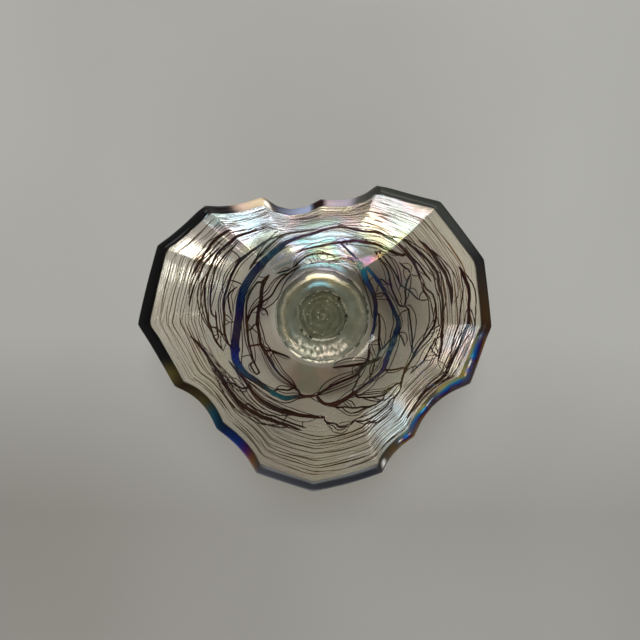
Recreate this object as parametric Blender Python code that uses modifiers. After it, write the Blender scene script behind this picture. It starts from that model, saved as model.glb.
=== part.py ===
"""Art glass bowl with a sixteen-panelled, three-lobed blown body and trailed threads of dark glass.

The bowl stands on the ground plane, +X its right side and +Y its back. The frame's origin is under
the middle of its bounding box, and the empty bowl_axis, which carries every piece, stands on the axis
of the blown body, where the pontil was. Every trail of dark glass is a piece of its own, laid on the
outside of the body. Where two trails cross, the one laid later climbs over the earlier one.

A point on the body has an angle, in degrees round the axis from +X, and a climb, which is 0 where the
wall leaves the flat bottom and 1 at the outline of the lip. Lengths are millimetres until a mesh is
made.
"""

import math

import bmesh
import bpy
import numpy as np
from mathutils import Matrix, Vector
from mathutils.bvhtree import BVHTree

MM = 0.001

# Body: where the wall starts, and the control points (radius, height) of its side before it is tooled.
BASE_RADIUS = 35.0
BASE_HEIGHT = 7.0
SIDE_CONTROLS = ((BASE_RADIUS, BASE_HEIGHT), (52.0, 14.0), (68.0, 48.0), (90.0, 67.0))
WALL_THICKNESS = 2.6
# The lobes fade down the wall as climb to the first power, and the panels' ribs, faster, to the second.
LOBE_FADE = 2.2
RIB_FADE = 3.6
WALL_TOP = 0.95
WALL_ROWS = 11
# How far apart, in climb, the points are that give the direction up the wall.
SLOPE_STEP = 0.004
COLUMNS_PER_PANEL = 4

# The lip's outline at the sixteen panel ribs: angle, radius, height, and how far the panel that
# follows is pressed in towards the axis. The three deep panels are the folds between the lobes.
RIBS = (
    (19, 99.5, 63, 0.0),
    (44, 95.0, 63, 0.5),
    (67, 80.5, 67, 4.5),
    (91, 64.0, 77, 7.0),
    (117, 73.5, 76, 3.0),
    (137, 92.5, 67, 1.5),
    (157, 104.5, 63, 0.0),
    (183, 108.0, 63, 1.0),
    (206, 93.0, 70, 5.0),
    (227, 87.5, 72, 3.0),
    (247, 99.0, 65, 0.0),
    (267, 103.5, 62, -1.0),
    (291, 97.0, 66, 3.0),
    (307, 85.5, 73, 6.5),
    (335, 91.0, 72, 0.5),
    (356, 97.5, 66, 0.0),
)
# A panel that is pressed in also rises by this share of the push.
RISE_OF_FOLD = 0.5

# Lip wrap: an oval cord of dark glass on the edge of the wall.
LIP_HALF_LENGTH = 3.1
LIP_HALF_THICKNESS = 1.9
LIP_SIDES = 8

# Base pad: a turned disc of clear glass under the bottom, with the pontil scar ground to a hollow.
PAD_RADIUS = 33.5
PAD_EDGE_RADIUS = 2.5
PONTIL_RADIUS = 18.5
PONTIL_DEPTH = 2.0
PAD_STEPS = 48

# Clearances between pieces, and how closely a trail's samples follow its path.
GAP = 0.3
SIDE_CLEARANCE = 0.5
TRAIL_STEP = 0.8
PATH_TOLERANCE = 0.1
CLIMB_SLOPE = 0.9
TRAIL_FLATNESS = 0.48
TRAIL_HEIGHTS = (0.7, 2.4)
# A trail's top is narrower than its foot by this share, so its section is a low trapezium.
CROWN_SHARE = 0.45

# Fine thread: one spiral just under the lip.
THREAD_WIDTH = 0.9
THREAD_CLIMB = (0.712, 0.926)
THREAD_TURNS = 7

# Heavy and medium trails in the order they are laid: (angle, climb, width).
TRAILS = {
    "heavy_trail_left": [
        (22, 0.585, 1.2), (32, 0.605, 1.6), (45, 0.60, 1.8), (56, 0.60, 1.8), (66, 0.555, 1.7),
        (78, 0.60, 1.9), (88, 0.555, 2.4), (98, 0.50, 3.0), (110, 0.475, 3.6), (120, 0.425, 4.4),
        (135, 0.375, 5.2), (150, 0.37, 5.4), (165, 0.38, 5.4), (180, 0.38, 5.4), (190, 0.42, 5.2),
        (198, 0.475, 5.2), (208, 0.545, 5.0), (217, 0.555, 4.2), (225, 0.515, 3.4), (236, 0.495, 2.8),
        (245, 0.47, 3.2), (253, 0.405, 2.4), (262, 0.37, 1.8),
    ],
    "heavy_trail_right": [
        (267, 0.385, 1.8), (271, 0.43, 2.0), (277, 0.45, 2.8), (283, 0.435, 2.8), (291, 0.41, 2.2),
        (305, 0.40, 1.8), (317, 0.41, 2.4), (324, 0.375, 3.4), (332, 0.34, 3.4), (345, 0.325, 3.4),
        (355, 0.33, 3.2), (365, 0.275, 2.6), (380, 0.225, 2.2), (400, 0.21, 2.2), (417, 0.225, 1.8),
        (426, 0.27, 1.8), (435, 0.35, 1.5),
    ],
    "heavy_trail_base": [
        (338, 0.05, 1.4), (352, 0.05, 1.8), (362, 0.055, 2.4), (372, 0.075, 2.8), (384, 0.085, 3.0),
        (396, 0.09, 3.4), (402, 0.115, 4.0), (409, 0.165, 4.2), (418, 0.195, 3.8), (426, 0.18, 2.4),
        (433, 0.135, 1.9), (440, 0.09, 1.6), (452, 0.07, 1.4), (464, 0.055, 1.2),
    ],
    "trail_front_outer": [
        (206, 0.60, 1.4), (214, 0.605, 1.6), (224, 0.61, 2.2), (233, 0.62, 3.0), (241, 0.60, 3.2),
        (249, 0.57, 3.2), (257, 0.555, 2.6), (266, 0.545, 2.4), (272, 0.55, 1.6),
    ],
    "trail_front_high": [
        (189, 0.775, 1.2), (194, 0.742, 1.6), (205, 0.72, 2.0), (211, 0.74, 2.6), (219, 0.775, 2.8),
        (229, 0.757, 2.8), (238, 0.73, 2.6), (246, 0.675, 2.4), (253, 0.66, 2.0), (260, 0.665, 1.4),
    ],
    "trail_back_sweep": [
        (36, 0.575, 1.8), (40, 0.53, 2.2), (45, 0.503, 2.6), (52, 0.49, 2.4), (60, 0.45, 2.6),
        (70, 0.405, 2.8), (80, 0.35, 2.6), (92, 0.30, 2.2), (104, 0.282, 2.0), (113, 0.265, 1.6),
    ],
    "trail_left_inner": [
        (142, 0.225, 2.6), (150, 0.225, 2.8), (158, 0.20, 2.8), (167, 0.168, 2.8), (174, 0.18, 2.4),
        (184, 0.197, 2.2), (196, 0.203, 2.0), (205, 0.235, 2.0), (212, 0.23, 2.2), (222, 0.255, 2.0),
        (233, 0.29, 1.8), (243, 0.305, 1.6), (249, 0.33, 1.6), (254, 0.36, 1.6),
    ],
    "trail_front_vee": [
        (266, 0.355, 1.6), (271, 0.31, 1.8), (278, 0.265, 1.8), (288, 0.24, 1.8), (299, 0.245, 2.0),
        (308, 0.22, 2.2), (314, 0.205, 2.2), (321, 0.15, 2.0), (328, 0.09, 1.8), (334, 0.06, 1.4),
    ],
    "trail_front_rise": [
        (281, 0.05, 1.4), (290, 0.065, 1.8), (299, 0.105, 2.0), (307, 0.155, 2.2), (314, 0.22, 2.4),
        (320, 0.26, 2.6), (325, 0.30, 2.0),
    ],
    "trail_right_loop": [
        (322, 0.25, 1.6), (329, 0.235, 1.8), (336, 0.17, 1.8), (345, 0.135, 1.8), (356, 0.11, 1.6),
        (366, 0.09, 1.2),
    ],
    "trail_left_upper": [
        (119, 0.56, 1.4), (128, 0.555, 1.8), (137, 0.53, 2.0), (148, 0.54, 2.0), (160, 0.52, 1.8),
        (172, 0.52, 1.8), (182, 0.505, 1.8), (191, 0.53, 1.6), (200, 0.53, 1.4),
    ],
    "trail_left_high": [
        (120, 0.70, 1.2), (131, 0.713, 1.6), (140, 0.707, 1.8), (149, 0.715, 1.6), (157, 0.685, 1.4),
        (165, 0.68, 1.4), (175, 0.65, 1.3), (184, 0.62, 1.3), (192, 0.62, 1.3), (200, 0.597, 1.4),
    ],
    "trail_left_high_branch": [
        (139, 0.662, 1.0), (150, 0.665, 1.1), (158, 0.648, 1.2), (168, 0.63, 1.2), (178, 0.605, 1.2),
        (181, 0.575, 1.0),
    ],
    "trail_back_left": [
        (94, 0.585, 1.6), (100, 0.566, 1.8), (109, 0.58, 2.0), (115, 0.565, 2.0), (121, 0.525, 2.0),
        (130, 0.475, 2.0), (139, 0.442, 2.0), (148, 0.425, 1.6),
    ],
    "trail_base_left": [
        (113, 0.065, 1.4), (125, 0.063, 1.4), (140, 0.067, 1.4), (155, 0.062, 1.4), (161, 0.09, 1.4),
        (167, 0.15, 1.4), (172, 0.21, 1.3), (178, 0.265, 1.3), (186, 0.31, 1.3),
    ],
    "trail_back_arc": [
        (76, 0.14, 1.4), (82, 0.178, 1.6), (92, 0.19, 1.8), (101, 0.185, 1.8), (108, 0.16, 1.6),
        (116, 0.115, 1.4), (122, 0.085, 1.2),
    ],
    "trail_left_lower": [
        (151, 0.28, 1.5), (160, 0.305, 1.5), (170, 0.318, 1.5), (182, 0.31, 1.5), (191, 0.32, 1.6),
        (199, 0.345, 1.6), (207, 0.37, 1.6), (213, 0.405, 1.5), (218, 0.42, 1.3), (223, 0.44, 1.3),
    ],
    "trail_front_tail": [
        (211, 0.205, 1.6), (216, 0.15, 1.8), (222, 0.10, 1.8), (229, 0.06, 1.6), (234, 0.045, 1.2),
    ],
    "trail_right_outer": [
        (318, 0.67, 1.4), (323, 0.62, 1.5), (329, 0.59, 1.6), (337, 0.57, 1.6), (344, 0.585, 1.5),
        (350, 0.625, 1.4), (357, 0.655, 1.4), (365, 0.66, 1.3), (371, 0.645, 1.3), (374, 0.61, 1.3),
        (379, 0.58, 1.2),
    ],
    "trail_right_high": [
        (338, 0.768, 1.4), (345, 0.75, 1.8), (352, 0.72, 1.8), (359, 0.708, 1.6), (368, 0.715, 1.6),
        (374, 0.705, 1.5), (381, 0.715, 1.8), (388, 0.703, 1.8), (396, 0.675, 1.8), (404, 0.652, 1.5),
        (409, 0.625, 1.3),
    ],
    "trail_right_short": [
        (4, 0.775, 1.4), (12, 0.778, 2.0), (20, 0.762, 2.0), (32, 0.757, 1.8), (38, 0.737, 1.4),
    ],
    "trail_under_lip": [
        (309, 0.902, 1.4), (317, 0.893, 1.6), (324, 0.88, 1.8), (331, 0.882, 2.2), (336, 0.857, 2.0),
        (344, 0.863, 2.0), (352, 0.873, 2.0), (360, 0.88, 1.6), (369, 0.898, 1.8), (374, 0.885, 2.2),
        (380, 0.858, 1.4),
    ],
    "trail_back_fold": [(92, 0.785, 1.8), (98, 0.785, 2.2), (103, 0.812, 2.4), (109, 0.823, 1.8)],
    "web_right_low": [
        (7, 0.34, 1.5), (18, 0.31, 1.5), (25, 0.318, 1.4), (35, 0.365, 1.4), (45, 0.385, 1.4),
        (51, 0.42, 1.3),
    ],
    "web_right_rise": [
        (6, 0.385, 1.2), (10, 0.412, 1.3), (17, 0.43, 1.3), (22, 0.475, 1.3), (25, 0.53, 1.2),
    ],
    "web_right_mid": [(20, 0.405, 1.2), (30, 0.41, 1.3), (42, 0.42, 1.3), (49, 0.44, 1.2)],
    "web_right_fall": [(336, 0.555, 1.2), (346, 0.495, 1.3), (356, 0.447, 1.3), (365, 0.428, 1.2)],
    "web_front_right": [(320, 0.45, 1.3), (322, 0.49, 1.3), (325, 0.535, 1.3), (327, 0.565, 1.2)],
    "web_front_climb": [
        (293, 0.455, 1.3), (300, 0.53, 1.3), (307, 0.595, 1.4), (313, 0.612, 1.5), (318, 0.625, 1.3),
    ],
    "web_front_knot": [
        (278, 0.485, 1.2), (284, 0.495, 1.2), (288, 0.525, 1.2), (293, 0.555, 1.2), (298, 0.61, 1.2),
    ],
    "web_front_hook": [
        (271, 0.575, 1.2), (274, 0.60, 1.2), (277, 0.61, 1.2), (279, 0.645, 1.2), (284, 0.655, 1.1),
    ],
    "web_front_left": [(237, 0.455, 1.3), (242, 0.41, 1.3), (247, 0.375, 1.3)],
    "web_left_arch": [
        (161, 0.44, 1.1), (164, 0.47, 1.1), (168, 0.493, 1.1), (174, 0.47, 1.1), (181, 0.445, 1.1),
    ],
    "web_front_fall": [(216, 0.72, 1.2), (220, 0.69, 1.3), (224, 0.65, 1.3)],
    "web_right_high": [(326, 0.66, 1.2), (334, 0.668, 1.2), (342, 0.672, 1.2), (349, 0.69, 1.1)],
    "trail_front_pair": [
        (229, 0.722, 1.2), (236, 0.705, 1.2), (241, 0.68, 1.2), (246, 0.64, 1.2), (254, 0.635, 1.2),
        (262, 0.64, 1.1),
    ],
    "trail_right_mid": [
        (377, 0.655, 1.2), (382, 0.637, 1.3), (388, 0.628, 1.3), (395, 0.605, 1.2), (400, 0.63, 1.1),
    ],
    "trail_left_rim": [
        (136, 0.775, 1.4), (141, 0.79, 2.0), (146, 0.795, 2.0), (151, 0.783, 1.6), (157, 0.765, 1.3),
        (164, 0.78, 1.1),
    ],
    "trail_left_rim_low": [
        (146, 0.735, 1.1), (153, 0.737, 1.2), (160, 0.733, 1.2), (167, 0.747, 1.1), (176, 0.755, 1.0),
    ],
    "web_left_cell": [(186, 0.222, 1.1), (189, 0.255, 1.2), (192, 0.295, 1.2)],
    "web_left_strut": [(203, 0.333, 1.2), (204, 0.29, 1.3), (206, 0.255, 1.2)],
    "web_left_fork": [(177, 0.575, 1.0), (183, 0.566, 1.1), (188, 0.578, 1.1), (193, 0.59, 1.0)],
    "web_left_knot": [(186, 0.60, 1.0), (188, 0.57, 1.1), (192, 0.548, 1.1)],
    "web_front_cell": [(213, 0.435, 1.2), (216, 0.465, 1.3), (222, 0.478, 1.2)],
    "web_front_fan": [(291, 0.385, 1.2), (296, 0.34, 1.3), (300, 0.295, 1.3), (304, 0.26, 1.2)],
    "web_front_fan_right": [(306, 0.377, 1.2), (311, 0.345, 1.3), (315, 0.305, 1.3), (318, 0.285, 1.2)],
    "web_front_crest": [
        (286, 0.628, 1.0), (290, 0.65, 1.1), (294, 0.68, 1.1), (299, 0.70, 1.1), (305, 0.70, 1.1),
        (309, 0.685, 1.1), (313, 0.70, 1.1), (317, 0.69, 1.0),
    ],
    "web_front_span": [
        (286, 0.565, 1.0), (294, 0.585, 1.1), (302, 0.625, 1.1), (308, 0.622, 1.1), (311, 0.625, 1.0),
    ],
    "web_right_arch": [(331, 0.262, 1.1), (335, 0.268, 1.2), (339, 0.283, 1.2), (342, 0.302, 1.1)],
    "web_right_drop": [(339, 0.465, 1.1), (342, 0.43, 1.2), (345, 0.39, 1.2), (347, 0.355, 1.1)],
    "web_right_link": [(383, 0.30, 1.0), (388, 0.278, 1.1), (393, 0.245, 1.1)],
    "web_right_spur": [(369, 0.528, 1.0), (373, 0.49, 1.1), (377, 0.462, 1.0)],
    "web_right_cross": [(27, 0.545, 1.1), (30, 0.515, 1.2), (35, 0.50, 1.2)],
    "web_base_left": [(121, 0.10, 1.0), (127, 0.107, 1.1), (132, 0.138, 1.2), (138, 0.175, 1.1)],
    "web_base_nub": [(173, 0.128, 1.2), (175, 0.085, 1.3), (181, 0.06, 1.1)],
}

COLOURS = {
    "clear_glass": ((0.80, 0.79, 0.75, 1.0), 0.05),
    "base_glass": ((0.62, 0.66, 0.56, 1.0), 0.08),
    "dark_glass": ((0.045, 0.02, 0.03, 1.0), 0.12),
    "lip_glass": ((0.03, 0.03, 0.045, 1.0), 0.10),
    "thread_glass": ((0.14, 0.08, 0.05, 1.0), 0.12),
}


def clear_scene():
    for obj in list(bpy.data.objects):
        bpy.data.objects.remove(obj)


def material(name):
    """A glossy Principled material in one of the bowl's glass colours."""
    made = bpy.data.materials.get(name)
    if made:
        return made
    colour, roughness = COLOURS[name]
    made = bpy.data.materials.new(name)
    made.use_nodes = True
    shader = made.node_tree.nodes["Principled BSDF"]
    shader.inputs["Base Color"].default_value = colour
    shader.inputs["Roughness"].default_value = roughness
    shader.inputs["Metallic"].default_value = 0.0
    made.diffuse_color = colour
    return made


def add_object(name, mesh, glass, collection):
    obj = bpy.data.objects.new(name, mesh)
    obj.data.materials.append(material(glass))
    collection.objects.link(obj)
    return obj


# ---- The body's surface -------------------------------------------------------------------------


def bezier(controls, t):
    a, b, c, d = (1 - t) ** 3, 3 * t * (1 - t) ** 2, 3 * t * t * (1 - t), t**3
    return tuple(a * p + b * q + c * r + d * s for p, q, r, s in zip(*controls))


def lip_point(panel, share):
    """The lip's outline a share of the way across a panel: (angle in degrees, radius, height)."""
    angle, radius, height, push = RIBS[panel]
    next_angle, next_radius, next_height, _ = RIBS[(panel + 1) % len(RIBS)]
    start = radius * Vector((math.cos(math.radians(angle)), math.sin(math.radians(angle))))
    end = next_radius * Vector((math.cos(math.radians(next_angle)), math.sin(math.radians(next_angle))))
    outward = Vector((end.y - start.y, start.x - end.x)).normalized()
    bow = push * 4 * share * (1 - share)
    point = start.lerp(end, share) - outward * bow
    ease = share * share * (3 - 2 * share)
    rise = height + (next_height - height) * ease + RISE_OF_FOLD * bow
    return math.degrees(math.atan2(point.y, point.x)) % 360, point.length, rise


def lip_outline():
    """The lip's outline at every column of the wall, in order of angle."""
    shares = [k / COLUMNS_PER_PANEL for k in range(COLUMNS_PER_PANEL)]
    return sorted(lip_point(panel, share) for panel in range(len(RIBS)) for share in shares)


def softened(values):
    """The values without the ribs: a running mean over one panel's width, which leaves the lobes."""
    near = range(-(COLUMNS_PER_PANEL // 2), COLUMNS_PER_PANEL // 2 + 1)
    return sum(np.roll(values, k, axis=0) for k in near) / len(near)


OUTLINE = np.array(lip_outline())
LOBES = softened(OUTLINE[:, 1:])
RIBBING = OUTLINE[:, 1:] - LOBES


def around(angle, values):
    """A (radius, height) pair at any angle, straight between the values at the wall's columns."""
    return np.array([np.interp(angle, OUTLINE[:, 0], values[:, k], period=360) for k in (0, 1)])


def wall_point(angle, climb):
    """The outside of the wall: the round side, moved by the lobes and the ribs of the lip above it."""
    place = np.array(bezier(SIDE_CONTROLS, climb))
    place += (around(angle, LOBES) - SIDE_CONTROLS[-1]) * climb**LOBE_FADE
    place += around(angle, RIBBING) * climb**RIB_FADE
    turn = math.radians(angle)
    return Vector((place[0] * math.cos(turn), place[0] * math.sin(turn), place[1]))


def wall_frame(angle, climb):
    """(point, direction up the wall, outward normal) on the wall's outside."""
    point = wall_point(angle, climb)
    up = (wall_point(angle, climb + SLOPE_STEP) - wall_point(angle, climb - SLOPE_STEP)).normalized()
    along = wall_point(angle + 1, climb) - wall_point(angle - 1, climb)
    return point, up, along.cross(up).normalized()


def skin_mesh():
    """The outside of the body as an open surface: the flat bottom and the wall, in millimetres."""
    angles = OUTLINE[:, 0]
    climbs = [WALL_TOP * row / WALL_ROWS for row in range(WALL_ROWS + 1)]
    rows = [[wall_point(angle, climb) for angle in angles] for climb in climbs]
    skin = bmesh.new()
    rings = [[skin.verts.new(point) for point in row] for row in rows]
    skin.faces.new(reversed(rings[0]))
    for low, high in zip(rings, rings[1:]):
        for k in range(len(angles)):
            skin.faces.new((low[k - 1], low[k], high[k], high[k - 1]))
    bmesh.ops.recalc_face_normals(skin, faces=skin.faces)
    # On an open surface that call can choose either side: the bottom face has to look down.
    skin.faces.ensure_lookup_table()
    if skin.faces[0].normal.z > 0:
        bmesh.ops.reverse_faces(skin, faces=skin.faces)
    return skin


def make_wall(skin, collection):
    mesh = bpy.data.meshes.new("bowl_wall")
    skin.to_mesh(mesh)
    mesh.transform(Matrix.Scale(MM, 4))
    wall = add_object("bowl_wall", mesh, "clear_glass", collection)
    shell = wall.modifiers.new("Wall thickness", "SOLIDIFY")
    shell.thickness = WALL_THICKNESS * MM
    shell.offset = -1
    mesh.shade_smooth()
    mesh.set_sharp_from_angle(angle=math.radians(30))
    return wall


# ---- Turned and swept pieces --------------------------------------------------------------------


def arc(centre, radius, start, end, steps):
    """Points on an arc in the profile plane. Angles are degrees, 0 outwards and 90 up."""
    turns = [math.radians(start + (end - start) * k / steps) for k in range(steps + 1)]
    return [(centre[0] + radius * math.cos(t), centre[1] + radius * math.sin(t)) for t in turns]


def make_pad(collection):
    """The base pad: a profile turned by a Screw modifier, from its top to the pontil hollow."""
    top = BASE_HEIGHT - GAP
    ball = (PONTIL_RADIUS**2 + PONTIL_DEPTH**2) / (2 * PONTIL_DEPTH)
    rim = math.degrees(math.acos(PONTIL_RADIUS / ball))
    edge = PAD_RADIUS - PAD_EDGE_RADIUS
    profile = [(0, top)]
    profile += arc((edge, top - PAD_EDGE_RADIUS), PAD_EDGE_RADIUS, 90, 0, 3)
    profile += arc((edge, PAD_EDGE_RADIUS), PAD_EDGE_RADIUS, 0, -90, 3)
    profile += arc((0, PONTIL_DEPTH - ball), ball, rim, 90, 4)
    profile[-1] = (0, PONTIL_DEPTH)
    mesh = bpy.data.meshes.new("base_pad")
    edges = [(k, k + 1) for k in range(len(profile) - 1)]
    mesh.from_pydata([(r * MM, 0, z * MM) for r, z in profile], edges, [])
    pad = add_object("base_pad", mesh, "base_glass", collection)
    screw = pad.modifiers.new("Turned", "SCREW")
    screw.steps = PAD_STEPS
    screw.render_steps = PAD_STEPS
    screw.use_merge_vertices = True
    screw.merge_threshold = 0.00005
    screw.use_smooth_shade = True
    return pad


def sweep(name, sections, glass, collection, closed=False):
    """A solid through a row of point loops, each of which leans with the wall."""
    swept = bmesh.new()
    rings = [[swept.verts.new(Vector(point) * MM) for point in loop] for loop in sections]
    joined = zip(rings, rings[1:] + rings[:1]) if closed else zip(rings, rings[1:])
    for first, second in joined:
        for k in range(len(first)):
            swept.faces.new((first[k - 1], first[k], second[k], second[k - 1]))
    if not closed:
        swept.faces.new(reversed(rings[0]))
        swept.faces.new(rings[-1])
    bmesh.ops.recalc_face_normals(swept, faces=swept.faces)
    mesh = bpy.data.meshes.new(name)
    swept.to_mesh(mesh)
    swept.free()
    mesh.shade_smooth()
    mesh.set_sharp_from_angle(angle=math.radians(60))
    return add_object(name, mesh, glass, collection)


def make_lip(collection):
    """The lip wrap: an oval cord that follows the wall's edge and leans with it."""
    loops = []
    for angle in OUTLINE[:, 0]:
        edge, up, outward = wall_frame(angle, WALL_TOP)
        centre = edge + up * (LIP_HALF_LENGTH + GAP) - outward * (WALL_THICKNESS / 2)
        turns = [2 * math.pi * (k + 0.5) / LIP_SIDES for k in range(LIP_SIDES)]
        loops.append([
            centre + up * (LIP_HALF_LENGTH * math.cos(t)) + outward * (LIP_HALF_THICKNESS * math.sin(t))
            for t in turns
        ])
    return sweep("lip_wrap", loops, "lip_glass", collection, closed=True)


# ---- Trails -------------------------------------------------------------------------------------


def smooth_path(points):
    """A Catmull-Rom curve through (angle, climb, width) points, sampled about every TRAIL_STEP."""
    points = np.array(points, float)
    padded = np.vstack([2 * points[0] - points[1], points, 2 * points[-1] - points[-2]])
    places = [wall_point(angle, climb) for angle, climb, _ in points]
    found = []
    for k in range(len(points) - 1):
        before, start, end, after = padded[k : k + 4]
        steps = max(2, math.ceil((places[k + 1] - places[k]).length / TRAIL_STEP))
        for t in np.arange(steps) / steps:
            found.append(
                start
                + 0.5 * t * (end - before)
                + t * t * (before - 2.5 * start + 2 * end - 0.5 * after)
                + t**3 * (1.5 * (start - end) + 0.5 * (after - before))
            )
    return np.array(found + [points[-1]])


def height_of(width):
    return float(np.clip(width * TRAIL_FLATNESS, *TRAIL_HEIGHTS))


class Laying:
    """Keeps the trails laid so far, so that the next one can climb over them."""

    def __init__(self, skin):
        self.skin = BVHTree.FromBMesh(skin)
        self.places = np.zeros((0, 3))
        self.reach = np.zeros(0)
        self.tops = np.zeros(0)

    def needed_lift(self, places, reach):
        """How high each place has to be so that a trail of this reach clears the trails below it."""
        lift = np.zeros(len(places))
        if len(self.places) == 0:
            return lift
        for k, place in enumerate(places):
            distance = np.linalg.norm(self.places - place, axis=1)
            near = distance < self.reach + reach[k] + SIDE_CLEARANCE
            if near.any():
                lift[k] = self.tops[near].max()
        return lift

    def add(self, places, reach, tops):
        self.places = np.vstack([self.places, places])
        self.reach = np.concatenate([self.reach, reach])
        self.tops = np.concatenate([self.tops, tops])


def simplified(path, tolerance):
    """Indices of the samples to keep, so that no dropped one is further than the tolerance away."""
    keep, todo = {0, len(path) - 1}, [(0, len(path) - 1)]
    while todo:
        first, last = todo.pop()
        if last - first < 2:
            continue
        chord = path[last] - path[first]
        between = path[first + 1 : last] - path[first]
        share = np.clip(between @ chord / max(chord @ chord, 1e-12), 0, 1)
        away = np.linalg.norm(between - share[:, None] * chord, axis=1)
        if away.max() > tolerance:
            middle = first + 1 + int(away.argmax())
            keep.add(middle)
            todo += [(first, middle), (middle, last)]
    return sorted(keep)


def lay_trail(name, points, glass, laying, collection):
    """Lays one trail on the outside of the wall, over every trail that is already there."""
    path = smooth_path(points)
    frames = [wall_frame(angle, climb) for angle, climb, _ in path]
    places = np.array([laying.skin.find_nearest(frame[0])[0] for frame in frames])
    reach = path[:, 2] / 2
    lift = laying.needed_lift(places, reach)
    free = np.flatnonzero(lift == 0)
    # An end that would lie on another trail stops short of it.
    keep = slice(free[0], free[-1] + 1)
    path, frames, places, reach, lift = path[keep], frames[keep], places[keep], reach[keep], lift[keep]
    along = np.concatenate([[0], np.cumsum(np.linalg.norm(np.diff(places, axis=0), axis=1))])
    apart = np.abs(along[:, None] - along[None, :])
    lift = (lift[None, :] - CLIMB_SLOPE * np.maximum(apart - TRAIL_STEP, 0)).max(axis=1).clip(min=0)
    heights = np.array([height_of(width) for width in path[:, 2]])
    normals = np.array([frame[2] for frame in frames])
    middles = places + normals * (lift + GAP + heights / 2)[:, None]
    laying.add(places, reach, lift + GAP + heights + GAP)

    loops = []
    for k in simplified(middles, PATH_TOLERANCE):
        ahead = Vector(places[min(k + 1, len(places) - 1)] - places[max(k - 1, 0)]).normalized()
        outward = Vector(normals[k])
        aside = outward.cross(ahead).normalized() * reach[k]
        base, top = lift[k] + GAP, lift[k] + GAP + heights[k]
        middle = Vector(places[k])
        feet = [laying.skin.find_nearest(middle + aside * side)[0] + outward * base for side in (-1, 1)]
        crown = middle + outward * top
        loops.append([feet[0], feet[1], crown + aside * CROWN_SHARE, crown - aside * CROWN_SHARE])
    return sweep(name, loops, glass, collection)


def thread_points():
    """The fine thread's path: a steady spiral up the wall, with a point at each wall column."""
    angles = [angle + 360 * turn for turn in range(THREAD_TURNS) for angle in OUTLINE[:, 0]]
    low, high = THREAD_CLIMB
    span = angles[-1] - angles[0]
    return [(angle, low + (high - low) * (angle - angles[0]) / span, THREAD_WIDTH) for angle in angles]


def stand_on_axis(bowl, lip):
    """Hangs every piece on the empty at the body's axis, and centres the lip on the origin."""
    axis = bpy.data.objects.new("bowl_axis", None)
    points = np.array([vertex.co for vertex in lip.data.vertices])
    middle = (points.min(axis=0) + points.max(axis=0)) / 2
    axis.location = (-middle[0], -middle[1], 0)
    for piece in bowl.objects:
        piece.parent = axis
    bowl.objects.link(axis)


def main():
    clear_scene()
    bowl = bpy.data.collections.new("art_glass_bowl")
    bpy.context.scene.collection.children.link(bowl)
    skin = skin_mesh()
    laying = Laying(skin)
    make_wall(skin, bowl)
    make_pad(bowl)
    lip = make_lip(bowl)
    for name, points in TRAILS.items():
        lay_trail(name, points, "dark_glass", laying, bowl)
    lay_trail("fine_spiral_thread", thread_points(), "thread_glass", laying, bowl)
    skin.free()
    stand_on_axis(bowl, lip)


main()
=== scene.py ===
"""The looks of the art glass bowl: blown clear glass with an iridescent skin, and melted-on dark glass.

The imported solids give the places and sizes. The wall, the lip, the base and each trail are rebuilt from
their solids as smooth glass, and each piece takes the place of its own solid.
"""

import math
import random
from functools import reduce

import bmesh
import bpy
import numpy as np
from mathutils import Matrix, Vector, noise
from mathutils.bvhtree import BVHTree


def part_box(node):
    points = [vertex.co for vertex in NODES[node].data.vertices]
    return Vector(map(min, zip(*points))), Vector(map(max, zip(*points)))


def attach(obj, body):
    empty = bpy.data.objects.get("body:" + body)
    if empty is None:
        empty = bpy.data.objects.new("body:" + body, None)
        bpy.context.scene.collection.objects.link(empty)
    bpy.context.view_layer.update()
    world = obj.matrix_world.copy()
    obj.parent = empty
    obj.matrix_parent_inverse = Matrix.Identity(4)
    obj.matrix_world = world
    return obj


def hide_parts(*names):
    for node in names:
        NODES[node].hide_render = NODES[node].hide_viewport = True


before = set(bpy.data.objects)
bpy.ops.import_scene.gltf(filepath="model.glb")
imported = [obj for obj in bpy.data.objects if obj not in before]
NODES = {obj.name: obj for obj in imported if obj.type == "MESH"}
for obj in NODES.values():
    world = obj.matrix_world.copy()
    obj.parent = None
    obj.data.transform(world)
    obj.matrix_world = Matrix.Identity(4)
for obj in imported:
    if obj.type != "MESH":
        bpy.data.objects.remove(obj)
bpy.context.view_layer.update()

MM = 0.001
TRAIL_NAMES = sorted(name for name in NODES if "trail" in name or name.startswith("web"))
AXIS = sum(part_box("base_pad"), Vector()) / 2
AXIS.z = 0

# Two points of a solid closer than WELD are one, and a height or radius within LEVEL is the same one
WELD = 0.002 * MM
LEVEL = 0.01 * MM

# Wall
COLUMNS_PER_PANEL = 4
WALL_SUBDIVISIONS = 3
BOTTOM_RINGS = (0.3, 0.65)
RIB_CREASE = 0.95
RIB_FADE = 1.6
WALL_INTO_LIP = 1.3 * MM

# Glass: a surface that faces WINDOW_FACING mirrors the front window to the camera
GLASS_IOR = 1.5
RIPPLES = 62
RIPPLE_HEIGHT = 0.022 * MM
# The next two shape the painted sheen, a glossy layer that masks put where the window's reflection shows;
# the one after them is the share of a painted glare, a pale diffuse layer
SHEEN_RIPPLE = 2.0
SHEEN_LEAN = 1.35
GLARE_VEIL = 0.16
WINDOW_FACING = (0.0, -0.62, 0.79)
WINDOW_FACING_IN_GLASS = (0.0, -0.34, 0.94)
# The painted reflection on the base's ring, by distance from the axis: where its inner and its outer edge
# fade, where its tints change, and where the painted sheen outside it fades in
RING_START = (19 * MM, 24 * MM)
RING_END = (30 * MM, 34 * MM)
RING_ACROSS = (20 * MM, 32 * MM)
RING_FADE = (23 * MM, 33 * MM)

# Lip: triangles join at ANY_ANGLE, and corners that turn by more than LIP_CORNER stay crisp
ANY_ANGLE = 3.2
LIP_CORNER = math.radians(9)
LIP_CREASE = 0.7
LIP_SUBDIVISIONS = 2
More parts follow.
